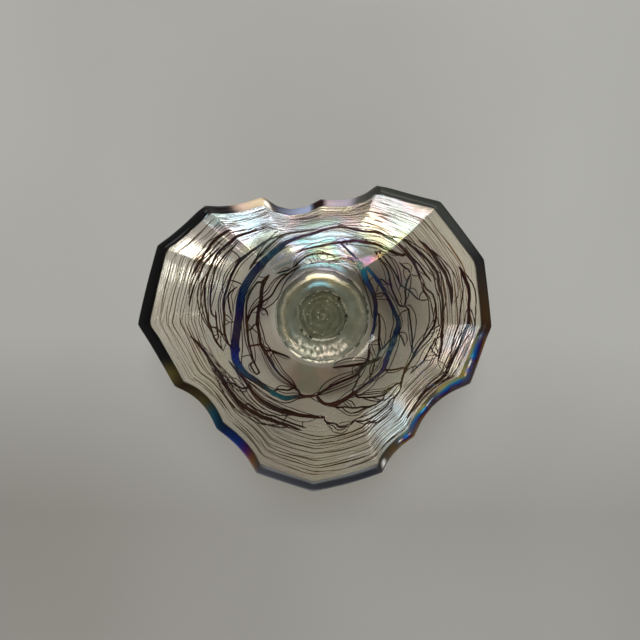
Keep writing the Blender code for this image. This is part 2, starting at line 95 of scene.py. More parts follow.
# Where the lip is thicker: (angle, spread, extra), the first two in degrees
LIP_SWELLS = ((336, 14, 1.2 * MM), (182, 22, 0.5 * MM))

# Base: its profile starts and ends AXIS_GAP from the axis
LATHE_STEPS = 128
AXIS_GAP = 0.02 * MM
PONTIL_BEAD = 0.9 * MM
PONTIL_STEP = 1.5 * MM
# How far the scar is out of round, with two and with five bulges, and how far from its edge that fades
PONTIL_OVAL = 0.02
PONTIL_LOBES = 0.008
PONTIL_FADE = 4 * MM
FLOOR_GAP = 0.3 * MM

# Trails
TRAIL_STEP = 0.6 * MM
TRAIL_SUNK = 0.5 * MM
TRAIL_SIDES = 10
TRAIL_HIGHEST = 2.0 * MM
TRAIL_FLATNESS = 0.9
TRAIL_TIP = 0.06
NORMAL_EVENING = 3
END_TAPER = 3.0 * MM
END_REACH = 4.5 * MM
LOOK_BACK = 6
TRAIL_BULGE = 1.05
HEAVY_BULGE = 1.2
JOINT_SWELL = 0.35
JOINT_REACH = 1.6 * MM

# Hairs: thin strands that were pulled off the trails, and that run beside them or over to the next one
HAIR_STEP = 0.9 * MM
HAIR_SIDES = 6
HAIR_TIP = 0.4
HAIR_HALF_WIDTHS = (0.24 * MM, 0.42 * MM)
HAIR_TRIES = 12
HAIR_CLEARANCE = 0.9 * MM
HAIR_CLEAR_SHARE = 0.85
HAIR_SEED = 11
COMPANION_EVERY = 19 * MM
COMPANION_LENGTHS = (25 * MM, 75 * MM)
COMPANION_OFFSETS = (2.0 * MM, 6.0 * MM)
STRUT_EVERY = 6.5 * MM
STRUT_SPANS = (2.5 * MM, 10 * MM)
STRUT_SLANTS = (2.0 * MM, 9 * MM)
STRUT_BOW = 0.15
# A trail that lies wholly beyond FRONT_FROM, towards the front, is tried for this share more hairs
FRONT_CROWDING = 1.6
FRONT_FROM = 38 * MM

# Fine thread: its turns waver, and vary in width
THREAD_STEP = 1.2 * MM
THREAD_SHIFTS = (0.0, -1.4 * MM)
THREAD_WAVER = 1.6 * MM
THREAD_SPREAD = 4.5 * MM
THREAD_HALF_WIDTH = 0.36 * MM
THREAD_EVENING = 9
# The noise that moves it, in waves a metre
SLOW_WAVES = 24
QUICK_WAVES = 70
WIDTH_WAVES = 45

# Stage
ROOM = (0.8, 0.8, 0.78)
FLOOR_SIZE = 6
AIM_HEIGHT = 30 * MM
LENS = 27.04
# The camera's place from the middle of the base, in millimetres
CAMERA_OFFSET = (-1.4, -2.9, 345)


# ---- Reading the solids ----


def welded(name):
    """A CAD node's mesh as a bmesh whose triangles share their vertices."""
    solid = bmesh.new()
    solid.from_mesh(NODES[name].data)
    bmesh.ops.remove_doubles(solid, verts=solid.verts, dist=WELD)
    solid.verts.ensure_lookup_table()
    return solid


def layers_from(start):
    """The mesh's vertices in layers, by the number of edges between them and the starting set."""
    seen, layer = set(start), list(start)
    while layer:
        yield layer
        layer = list({e.other_vert(v) for v in layer for e in v.link_edges} - seen)
        seen.update(layer)


def wall_rows():
    """The outside of the wall as rows of points sorted by angle, from the bottom up, and its thickness."""
    solid = welded("bowl_wall")
    lowest = min(v.co.z for v in solid.verts)
    bottom = [v for v in solid.verts if v.co.z < lowest + LEVEL]
    rows = []
    for layer in layers_from(bottom):
        points = np.array([v.co - AXIS for v in layer])
        rows.append(points[np.argsort(np.arctan2(points[:, 1], points[:, 0]))])
    solid.free()
    # The layers run up the outside, over the rim and down the inside.
    thickness = rows[-1][:, 2].mean() - rows[0][:, 2].mean()
    return np.array(rows[: len(rows) // 2]) + np.array(AXIS), thickness


def trail_rings(name):
    """The sections of a trail's solid, in order: an array of rings of four points."""
    solid = welded(name)
    for edge in solid.edges:
        first, second = edge.link_faces
        cap = set(first.verts) | set(second.verts)
        rings = []
        for layer in layers_from(cap):
            if len(layer) != 4:
                break
            rings.append([v.co.copy() for v in layer])
        else:
            solid.free()
            return np.array(rings)
    raise ValueError(f"{name} isn't a row of four-sided sections")


# ---- Small mesh helpers ----


def linked(name, data):
    """A new object in the scene."""
    made = bpy.data.objects.new(name, data)
    bpy.context.scene.collection.objects.link(made)
    return made


def new_piece(name, shape, node, slot, *materials):
    """A visible piece from a bmesh, in the place of a CAD node."""
    mesh = bpy.data.meshes.new(name)
    shape.to_mesh(mesh)
    shape.free()
    piece = linked(name, mesh)
    for material in materials:
        mesh.materials.append(material)
    mesh.shade_smooth()
    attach(piece, "root")
    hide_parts(node)
    return piece


def subdivide(piece, levels):
    smooth = piece.modifiers.new("Smooth", "SUBSURF")
    smooth.levels = smooth.render_levels = levels


def through(points, spacing):
    """A Catmull-Rom curve through the rows of an array whose first three columns are a place."""
    padded = np.vstack([2 * points[0] - points[1], points, 2 * points[-1] - points[-2]])
    curve = []
    for before, start, end, after in zip(padded, padded[1:], padded[2:], padded[3:]):
        steps = max(1, round(np.linalg.norm(end[:3] - start[:3]) / spacing))
        t = (np.arange(steps) / steps)[:, None]
        curve.append(
            start
            + 0.5 * t * (end - before)
            + t**2 * (before - 2.5 * start + 2 * end - 0.5 * after)
            + t**3 * (1.5 * (start - end) + 0.5 * (after - before))
        )
    return np.vstack(curve + [points[-1:]])


def blurred(values, reach):
    """A running mean over `reach` samples each way, along the first axis."""
    padded = np.vstack([values[:1]] * reach + [values] + [values[-1:]] * reach)
    return sum(padded[k : k + len(values)] for k in range(2 * reach + 1)) / (2 * reach + 1)


# ---- Shaders ----


class Shader:
    """A few short calls over a material's node tree."""

    def __init__(self, name):
        self.material = bpy.data.materials.new(name)
        self.material.use_nodes = True
        self.tree = self.material.node_tree
        self.principled = self.tree.nodes["Principled BSDF"]
        self.output = self.tree.nodes["Material Output"]

    def node(self, kind, *values, **settings):
        """A new node, with values for its first inputs."""
        made = self.tree.nodes.new(kind)
        for key, value in settings.items():
            setattr(made, key, value)
        for value, socket in zip(values, made.inputs):
            self.put(value, socket)
        return made

    def put(self, value, socket):
        """Links an output to an input, or sets the input to a plain value."""
        if isinstance(value, bpy.types.NodeSocket):
            self.tree.links.new(value, socket)
        else:
            socket.default_value = value

    def math(self, operation, *values):
        return self.node("ShaderNodeMath", *values, operation=operation).outputs[0]

    def times(self, *values):
        return reduce(lambda product, value: self.math("MULTIPLY", product, value), values)

    def plus(self, *values):
        return reduce(lambda total, value: self.math("ADD", total, value), values)

    def larger(self, first, second):
        return self.math("MAXIMUM", first, second)

    def wave(self, along, noise, waver):
        """A sine along a value, from -1 to 1, with its phase pushed to and fro by noise."""
        return self.math("SINE", self.plus(along, self.times(noise, waver)))

    def place(self):
        return self.node("ShaderNodeNewGeometry").outputs["Position"]

    def noise(self, scale, detail=2.0):
        made = self.node("ShaderNodeTexNoise", self.place())
        made.inputs["Scale"].default_value = scale
        made.inputs["Detail"].default_value = detail
        return made.outputs["Fac"]

    def remap(self, value, low, high, to_low=0.0, to_high=1.0):
        return self.node("ShaderNodeMapRange", value, low, high, to_low, to_high).outputs[0]

    def patches(self, scale, low, high, to_low=0.0, to_high=1.0, detail=2.0):
        """Noise, with its middle part from low to high spread over another range."""
        return self.remap(self.noise(scale, detail), low, high, to_low, to_high)

    def ramp(self, value, *stops):
        made = self.node("ShaderNodeValToRGB", value)
        elements = made.color_ramp.elements
        while len(elements) < len(stops):
            elements.new(0.5)
        for element, (position, colour) in zip(elements, stops):
            element.position = position
            element.color = (*colour, 1)
        return made.outputs["Color"]

    def turn(self):
        """The place's angle round the bowl's axis, as a share of a full turn from +X."""
        apart = self.node("ShaderNodeSeparateXYZ", self.outward())
        angle = self.math("ARCTAN2", apart.outputs["Y"], apart.outputs["X"])
        return self.math("FRACT", self.math("DIVIDE", angle, 2 * math.pi))

    def round_about(self, *stops):
        """A value that changes with the angle: the stops are (degrees, value), and it ends as it began."""
        return self.tones_about(*((degrees, (value,) * 3) for degrees, value in stops))

    def tones_about(self, *stops):
        """A colour by angle, as round_about gives a value."""
        closed = (*stops, (360, stops[0][1]))
        return self.ramp(self.turn(), *((degrees / 360, colour) for degrees, colour in closed))

    def blend(self, share, first, second):
        """One colour into another."""
        made = self.node("ShaderNodeMix", data_type="RGBA")
        self.put(share, made.inputs["Factor"])
        for entry, socket in zip((first, second), (made.inputs[6], made.inputs[7])):
            self.put(entry if isinstance(entry, bpy.types.NodeSocket) else (*entry, 1), socket)
        return made.outputs[2]

    def vector(self, operation, *values):
        """A vector sum; DOT_PRODUCT and LENGTH come back as a value."""
        made = self.node("ShaderNodeVectorMath", *values, operation=operation)
        return made.outputs["Value" if operation in ("DOT_PRODUCT", "LENGTH") else "Vector"]

    def unit(self, vector):
        return self.vector("NORMALIZE", vector)

    def outward(self):
        """The place's flat offset from the bowl's axis."""
        return self.vector("MULTIPLY", self.vector("SUBTRACT", self.place(), AXIS), (1, 1, 0))

    def radius(self):
        return self.vector("LENGTH", self.outward())

    def direction(self, vector):
        """A fixed direction, as a socket."""
        return self.node("ShaderNodeCombineXYZ", *vector).outputs[0]

    def glossy(self, colour, roughness, normal):
        made = self.node("ShaderNodeBsdfGlossy", colour, roughness)
        self.put(normal, made.inputs["Normal"])
        return made.outputs[0]

    def attribute(self, name):
        return self.node("ShaderNodeAttribute", attribute_name=name).outputs["Fac"]

    def mix(self, share, first, second):
        return self.node("ShaderNodeMixShader", share, first, second).outputs[0]

    def transparent(self, colour):
        return self.node("ShaderNodeBsdfTransparent", colour).outputs[0]

    def over(self, share, upper):
        """The principled surface with a share of another shader over it."""
        return self.mix(share, self.principled.outputs[0], upper)

    def show(self, surface):
        self.put(surface, self.output.inputs["Surface"])

    def bumped(self, height, distance, strength=1.0, normal=None):
        made = self.node("ShaderNodeBump", strength, distance)
        self.put(height, made.inputs["Height"])
        if normal:
            self.put(normal, made.inputs["Normal"])
        return made.outputs["Normal"]

    def bump(self, height, distance, strength=1.0):
        self.put(self.bumped(height, distance, strength), self.principled.inputs["Normal"])

    def set(self, **values):
        for key, value in values.items():
            self.put(value, self.principled.inputs[key.replace("_", " ")])

    def see_through(self, colour, roughness):
        self.set(Base_Color=colour, Roughness=roughness, IOR=GLASS_IOR, Transmission_Weight=1.0)

    def light_passes(self, tint, lit=None):
        """Shadow rays go straight through, tinted, because refracted light is too noisy to trace."""
        shadow = self.node("ShaderNodeLightPath").outputs["Is Shadow Ray"]
        passed = self.transparent(tint if isinstance(tint, bpy.types.NodeSocket) else (*tint, 1))
        self.show(self.mix(shadow, lit or self.principled.outputs[0], passed))


def clear_glass():
    """The inside of the blown wall: clear, with a faint film, and a painted reflection of the window on the
    bottom's ring.
    """
    glass = Shader("clear_glass_iridescent")
    climb = glass.attribute("climb")
    unfilmed = glass.round_about((0, 0), (225, 0), (240, 1), (300, 1), (312, 0))
    filmed = glass.remap(unfilmed, 0, 1, glass.remap(climb, 0.05, 0.3, 1.4, 1.85), 1.5)
    glass.see_through((0.9, 0.87, 0.81, 1), glass.remap(climb, 0, 0.1, 0.1, 0.03))
    glass.set(
        Thin_Film_Thickness=glass.patches(16, 0.3, 0.7, 90, 330),
        Thin_Film_IOR=glass.math("MINIMUM", filmed, glass.remap(climb, 0.6, 0.85, 1.85, 1.4)),
    )
    height = ripple_height(glass, climb)
    glass.bump(height, RIPPLE_HEIGHT)
    # Inside the bottom, a painted reflection of the window: a glossy layer whose normal faces the window,
    # put by masks so that the back of the ring glows softly and its front glitters in streaks.
    radius = glass.radius()
    ring = glass.times(glass.remap(radius, *RING_START), glass.remap(radius, *RING_END, 1, 0))
    painted_shine = glass.round_about(
        (0, 0.04), (45, 0.06), (64, 0.3), (80, 0.75), (100, 0.75), (118, 0.25), (150, 0.06),
    )
    glint_arcs = glass.wave(glass.times(radius, 1100), glass.noise(60, 1), 5)
    soft = glass.times(painted_shine, glass.remap(glint_arcs, -0.4, 0.9, 0.15))
    front = glass.round_about(
        (0, 0.1), (30, 0.1), (205, 0.1), (235, 0.45), (265, 0.6), (292, 0.55), (315, 0.3), (335, 0.1),
    )
    painted_sparkles = glass.patches(480, 0.4, 0.66, detail=4)
    streaks = glass.times(front, painted_sparkles, glass.remap(glint_arcs, -0.8, 0.6, 0.45))
    share = glass.times(ring, glass.larger(soft, streaks))
    drift = glass.patches(60, 0.3, 0.7, -0.2, 0.2)
    across = glass.plus(glass.remap(radius, *RING_ACROSS), drift)
    hue = glass.ramp(
        across,
        (0.05, (0.2, 0.45, 0.58)), (0.28, (0.16, 0.24, 0.27)), (0.45, (0.8, 0.68, 0.38)),
        (0.7, (0.8, 0.78, 0.66)), (0.95, (0.6, 0.58, 0.72)),
    )
    facing = glass.bumped(height, RIPPLE_HEIGHT, normal=glass.direction(WINDOW_FACING))
    hue = glass.blend(glass.remap(front, 0.1, 0.4, 0, 0.9), hue, (0.9, 0.93, 0.88))
    painted_gloss = glass.glossy(hue, 0.2, facing)
    glass.light_passes((0.86, 0.83, 0.77), glass.over(share, painted_gloss))
    return glass.material


def painted_sheen_of(glass, climb, height):
    """A painted reflection of the front window, in pastel film colours: a glossy layer that masks put by
    angle and height, with its normal leaned towards the window. Gives back the shader and its share.
    """
    patches = glass.patches(44, 0.38, 0.56, 0.6)
    bands = glass.wave(glass.times(climb, 70), glass.noise(50), 11)
    # The painted reflection covers the back from the bottom's edge up, and the other panels only near the
    # lip.
    back = glass.round_about(
        (0, 0), (44, 0), (60, 0.08), (68, 0.3), (76, 0.5), (100, 0.55), (114, 0.5), (134, 0.45),
        (139, 0),
    )
    panels = glass.round_about(
        (0, 0), (42, 0), (46, 0.7), (65, 0.8), (69, 0.45), (92, 0.4), (97, 0.3), (114, 0.5),
        (118, 1), (139, 1), (142, 0.1), (149, 0.1), (153, 1), (157, 0.85), (160, 0.25),
        (180, 0.22), (186, 0.12), (285, 0.15), (298, 0.5), (309, 0.8), (320, 0.1), (334, 0.1),
        (338, 0.6), (351, 0.6), (357, 0.1), (359, 0.1),
    )
    high = glass.remap(climb, 0.42, 0.62)
    from_ring = glass.remap(glass.radius(), *RING_FADE)
    banded = glass.times(glass.remap(climb, 0.35, 0.75, 1, 0.1), glass.remap(bands, -0.8, 0.5, 0.2, 1.1))
    # At the front right it keeps closer to the lip.
    elsewhere = glass.round_about((0, 0), (10, 1), (285, 1), (290, 0))
    near_lip = glass.times(panels, high, glass.larger(glass.remap(climb, 0.58, 0.74), elsewhere))
    about = glass.larger(glass.times(back, from_ring, banded), near_lip)
    # Near the lip it lies in fine streaks along the threads.
    fine = glass.wave(glass.times(climb, 330), glass.noise(40, 3), 34)
    below = glass.math("SUBTRACT", 1, high)
    streaks = glass.larger(glass.remap(fine, -0.6, 0.7, 0.66), below)
    share = glass.times(patches, streaks, about)
    drift = glass.noise(34, 1)
    upper = glass.ramp(
        drift,
        (0.3, (1, 0.86, 0.58)), (0.39, (1, 0.97, 0.78)), (0.46, (1, 0.76, 0.84)),
        (0.52, (0.84, 0.8, 1)), (0.59, (0.62, 0.86, 1)), (0.69, (0.66, 1, 0.88)),
    )
    lower = glass.ramp(
        drift,
        (0.3, (0.86, 0.82, 0.48)), (0.4, (0.56, 0.78, 0.54)), (0.47, (0.24, 0.56, 0.58)),
        (0.54, (0.5, 0.7, 0.95)), (0.61, (0.7, 0.7, 0.95)), (0.69, (0.84, 0.86, 0.54)),
    )
    # It is a warm white at the sides, and light blue at the back left and the front right.
    warm = glass.round_about(
        (0, 0.4), (44, 0.3), (66, 0.3), (72, 0), (147, 0), (151, 0.9), (245, 0.9),
    )
    cool = glass.round_about(
        (0, 0), (108, 0), (116, 0.7), (134, 0.7), (139, 0.1), (290, 0), (296, 0.8), (309, 0.8),
        (314, 0),
    )
    tinted = glass.blend(cool, glass.blend(warm, upper, (1, 0.98, 0.89)), (0.6, 0.82, 1))
    hue = glass.blend(high, lower, tinted)
    # It follows each panel's direction, but leans back from the true slope, towards the window.
    true = glass.node("ShaderNodeNewGeometry").outputs["Normal"]
    flat = glass.unit(glass.vector("MULTIPLY", glass.outward(), (-1, -1, 0)))
    panel = glass.unit(glass.vector("ADD", flat, glass.vector("MULTIPLY", true, (2, 2, 0))))
    leaned = glass.unit(glass.vector("ADD", panel, (0, 0, SHEEN_LEAN)))
    slope = glass.unit(glass.vector("ADD", leaned, true))
    # At the melted corners of the back left and the left, the painted reflection's normal is turned to face
    # the window.
    turned = glass.round_about(
        (0, 0), (137, 0), (138, 1), (141, 1), (142, 0), (146, 0), (150, 1), (184, 1),
        (188, 0),
    )
    side = glass.round_about(
        (0, 0), (137, 0), (142, 0.08), (150, 0.35), (157, 0.4), (162, 0.95), (359, 1),
    )
    towards = glass.vector("ADD", glass.vector("MULTIPLY", side, (1, 0, 0.75)), (0, -1, 0.9))
    slope = glass.blend(turned, slope, glass.unit(towards))
    painted_shine = glass.glossy(hue, 0.16, glass.bumped(height, SHEEN_RIPPLE * RIPPLE_HEIGHT, normal=slope))
    return painted_shine, share


def ripple_height(glass, climb):
    """The turns of the fine thread under the lip, and the slow swell of blown glass, as a height."""
    turns = glass.wave(glass.times(climb, RIPPLES * 2 * math.pi), glass.noise(22), 9)
    ripple = glass.times(turns, glass.remap(climb, 0.45, 0.75, 0.1))
    return glass.plus(ripple, glass.times(glass.noise(38, 1.5), 18))


def threaded_glass():
    """The outside of the wall: smoky and fumed, with hair-thin turns of brown thread melted into it, and
    with painted light: a painted sheen, a painted glare and a painted shade in the light that goes through.
    """
    glass = Shader("clear_glass_threaded")
    climb = glass.attribute("climb")
    turns = glass.wave(glass.times(climb, 150), glass.noise(26, 3), 26)
    lines = glass.remap(turns, 0.72, 0.98)
    broken = glass.patches(55, 0.4, 0.58, 0, 0.85, detail=1)
    where = glass.remap(climb, 0.42, 0.66)
    share = glass.times(lines, broken, where)
    amber = glass.patches(14, 0.4, 0.62, 0, 0.75, detail=1)
    # The glass is browner at the right and in the front, most of all just outside the base's ring.
    clear = glass.tones_about(
        (0, (0.48, 0.42, 0.34)), (55, (0.57, 0.52, 0.43)), (75, (0.74, 0.71, 0.65)),
        (130, (0.86, 0.83, 0.75)), (160, (1, 0.97, 0.9)), (205, (0.96, 0.91, 0.81)),
        (240, (0.76, 0.7, 0.58)), (300, (0.66, 0.6, 0.49)),
    )
    front = glass.round_about(
        (0, 0.35), (30, 0.2), (60, 0), (150, 0), (180, 0.4), (232, 0.4), (244, 0.9), (288, 0.9),
        (302, 0.35),
    )
    low = glass.times(glass.remap(climb, 0, 0.04), glass.remap(climb, 0.32, 0.4, 1, 0))
    # Near the lip it is amber at both sides.
    sides = glass.round_about(
        (0, 0.7), (45, 0.7), (60, 0), (150, 0.1), (165, 0.6), (200, 0.4), (215, 0), (345, 0),
    )
    edge = glass.times(sides, glass.remap(climb, 0.78, 0.92))
    warm = glass.larger(glass.times(amber, where), edge)
    brown = glass.ramp(
        glass.noise(50, 1),
        (0.38, (0.1, 0.13, 0.075)), (0.5, (0.13, 0.105, 0.06)), (0.6, (0.22, 0.12, 0.09)),
    )
    # The film leaves a faint cast, pink here and green there.
    cast = glass.ramp(
        glass.noise(30, 1), (0.38, (1, 0.9, 0.91)), (0.5, (1, 1, 1)), (0.62, (0.93, 1, 0.97))
    )
    browner = glass.vector("MULTIPLY", glass.blend(glass.times(front, low), clear, brown), cast)
    smoke = glass.blend(warm, browner, (0.9, 0.8, 0.56))
    glass.see_through(glass.blend(share, smoke, (0.3, 0.2, 0.11)), 0.03)
    height = ripple_height(glass, climb)
    glass.bump(height, RIPPLE_HEIGHT)
    # The painted sheen of the window, over the fumed skin
    painted_shine, shine_share = painted_sheen_of(glass, climb, height)
    # Painted glare: near the lip, mostly at the sides, a pale diffuse layer in streaks stands in for the
    # window's reflection in the ribbed wall.
    glare_places = glass.round_about(
        (0, 0.9), (12, 0.9), (40, 0.5), (60, 0), (150, 0), (160, 0.8), (190, 1), (230, 0.8),
        (250, 0.3), (290, 0.3), (310, 0.6),
    )
    glare_veil = glass.node("ShaderNodeBsdfDiffuse", (0.9, 0.93, 0.82, 1))
    grain = glass.remap(glass.math("SINE", turns), -0.8, 0.8, 0.4)
    glare_veiled_glass = glass.over(glass.times(glare_places, grain, where, GLARE_VEIL), glare_veil.outputs[0])
    # Painted shade: the light that goes through is tinted by angle, so the floor seen through the wall is
    # shaded more at the right and less at the left.
    painted_shade_tint = glass.tones_about(
        (0, (0.72, 0.68, 0.59)), (60, (0.74, 0.7, 0.61)), (150, (0.84, 0.81, 0.72)),
        (200, (0.92, 0.89, 0.8)), (245, (0.84, 0.8, 0.7)), (300, (0.76, 0.72, 0.62)),
    )
    glass.light_passes(painted_shade_tint, glass.mix(shine_share, glare_veiled_glass, painted_shine))
    return glass.material


def base_glass():
    """The clear pad: a greenish grey, wavy enough to break up what it reflects."""
    glass = Shader("base_glass_green")
    mottle = glass.patches(90, 0.35, 0.65)
    glass.see_through(glass.blend(mottle, (0.24, 0.27, 0.2), (0.5, 0.54, 0.43)), 0.05)
    waves = glass.plus(glass.noise(120), glass.times(glass.noise(420), 0.35))
    glass.bump(waves, 0.5 * MM, 0.7)
    glass.light_passes((0.7, 0.72, 0.64))
    return glass.material


def pontil_glass():
    """The ground scar under the base: a duller green, with the grinding wheel's swirl, and painted glints:
    bright dots and swirling streaks of a glossy layer whose normal faces the window.
    """
    glass = Shader("pontil_ground_glass")
    radius = glass.radius()
    spiral = glass.plus(glass.times(radius, 1500), glass.times(glass.turn(), 2 * math.pi))
    swirl = glass.wave(spiral, glass.noise(90), 9)
    rough = glass.times(glass.noise(300, 3), 11)
    cloud = glass.plus(glass.patches(150, 0.35, 0.65, 0, 0.6), glass.remap(swirl, -1, 1, 0, 0.4))
    glass.see_through(glass.blend(cloud, (0.15, 0.165, 0.115), (0.38, 0.4, 0.3)), 0.07)
    glass.bump(glass.plus(swirl, rough), 0.08 * MM)
    painted_specks = glass.patches(620, 0.7, 0.76, 0, 0.9, detail=1)
    broken = glass.patches(200, 0.5, 0.62, 0, 0.35)
    glint_arcs = glass.times(glass.remap(swirl, 0.75, 1), broken)
    painted_gloss = glass.glossy((0.95, 0.95, 0.85, 1), 0.3, glass.direction(WINDOW_FACING_IN_GLASS))
    glass.light_passes((0.55, 0.58, 0.46), glass.over(glass.larger(painted_specks, glint_arcs), painted_gloss))
    return glass.material


def pontil_rim():
    """The scar's edge: a dark line of painted shade, standing in for the dark refraction of its bead,
    broken by a painted glint that is bright in the front.
    """
    glass = Shader("pontil_rim_glass")
    broken = glass.patches(260, 0.42, 0.58)
    tones = glass.tones_about(
        (0, (0.05, 0.055, 0.04)), (50, (0.02, 0.022, 0.018)), (95, (0.03, 0.03, 0.025)),
        (130, (0.16, 0.18, 0.13)), (190, (0.2, 0.22, 0.16)), (225, (0.04, 0.045, 0.03)),
        (300, (0.05, 0.055, 0.04)),
    )
    glass.set(
        Base_Color=glass.blend(broken, tones, (0.26, 0.28, 0.21)),
        Roughness=0.2,
        IOR=1.3,
        Transmission_Weight=0.4,
    )
    # Painted glints, by angle: a glossy layer whose normal faces the window
    bright = glass.round_about(
        (0, 0.1), (40, 0.3), (90, 0.1), (215, 0.1), (240, 0.8), (300, 0.9), (325, 0.2),
    )
    painted_gloss = glass.glossy((0.98, 0.97, 0.84, 1), 0.3, glass.direction(WINDOW_FACING_IN_GLASS))
    glass.show(glass.over(glass.times(bright, broken), painted_gloss))
    return glass.material


def joined_glass():
    """The faces where two gathers of clear glass have melted together, so nothing shows there."""
    glass = Shader("joined_glass")
    glass.show(glass.transparent((1, 1, 1, 1)))
    return glass.material


def dark_glass(name, body, brown, density, film_share=0):
    """Dark trailed glass: the thinner it is, the more light its brown lets through.

    The body's colour is a plain one, or a function that makes one out of nodes. Where there is a share of
    film, the skin has some of the same one as the wall.
    """
    glass = Shader(name)
    # Depth is negative on the side that has melted into the wall, where nothing reflects.
    deep = glass.attribute("depth_mm")
    behind = glass.node("ShaderNodeNewGeometry").outputs["Backfacing"]
    outside = glass.math("GREATER_THAN", glass.math("SUBTRACT", deep, behind), 0)
    glass.set(
        Base_Color=body(glass) if callable(body) else (*body, 1),
        Specular_IOR_Level=glass.times(outside, 0.5 if film_share else 0.15),
        Roughness=0.12,
    )
    if film_share:
        patches = glass.patches(18, 0.42, 0.62, 0, film_share, detail=1)
        filmed = glass.times(patches, outside)
        thickness = glass.patches(45, 0.3, 0.7, 90, 190)
        glass.set(
            IOR=glass.remap(filmed, 0, 1, 1.5, 1.9),
            Thin_Film_Thickness=glass.times(thickness, outside),
            Thin_Film_IOR=glass.remap(filmed, 0, 1, 1.5, 2.2),
        )
    clear_share = glass.math("EXPONENT", glass.times(glass.math("ABSOLUTE", deep), -density))
    glass.show(glass.over(clear_share, glass.transparent((*brown, 1))))
    return glass.material


def heavy_body_and_glare(glass):
    """Navy on the left, teal beside the base, and red-brown high on the right. The blues and the teal are
    painted reflection: the film's reflection of the room, painted into the colour.
    """
    right = glass.round_about((0, 1), (75, 1), (98, 0), (345, 0))
    reddish = glass.times(right, glass.remap(glass.radius(), 54 * MM, 60 * MM))
    blues = glass.tones_about(
        (0, (0.006, 0.008, 0.03)), (20, (0.012, 0.006, 0.008)), (36, (0.008, 0.02, 0.075)),
        (44, (0.008, 0.08, 0.16)), (55, (0.02, 0.18, 0.18)), (63, (0.006, 0.04, 0.07)),
        (75, (0.03, 0.008, 0.012)), (90, (0.022, 0.01, 0.04)), (108, (0.01, 0.01, 0.06)),
        (125, (0.008, 0.045, 0.09)), (140, (0.006, 0.01, 0.06)), (170, (0.005, 0.006, 0.055)),
        (198, (0.006, 0.008, 0.04)), (206, (0.005, 0.008, 0.14)), (216, (0.006, 0.045, 0.09)),
        (228, (0.012, 0.008, 0.012)), (238, (0.008, 0.07, 0.09)), (246, (0.008, 0.05, 0.06)),
        (256, (0.03, 0.01, 0.006)), (300, (0.02, 0.008, 0.006)), (322, (0.016, 0.012, 0.06)),
        (335, (0.004, 0.008, 0.04)),
    )
    return glass.blend(reddish, blues, (0.028, 0.008, 0.01))


def thread_body(glass):
    """Dark brown in the front and at the back, and amber at the sides."""
    return glass.tones_about(
        (0, (0.12, 0.06, 0.018)), (20, (0.16, 0.08, 0.02)), (50, (0.1, 0.06, 0.024)),
        (75, (0.03, 0.016, 0.012)), (140, (0.035, 0.022, 0.012)), (165, (0.14, 0.095, 0.045)),
        (200, (0.12, 0.08, 0.04)), (220, (0.035, 0.02, 0.01)), (320, (0.03, 0.016, 0.008)),
    )


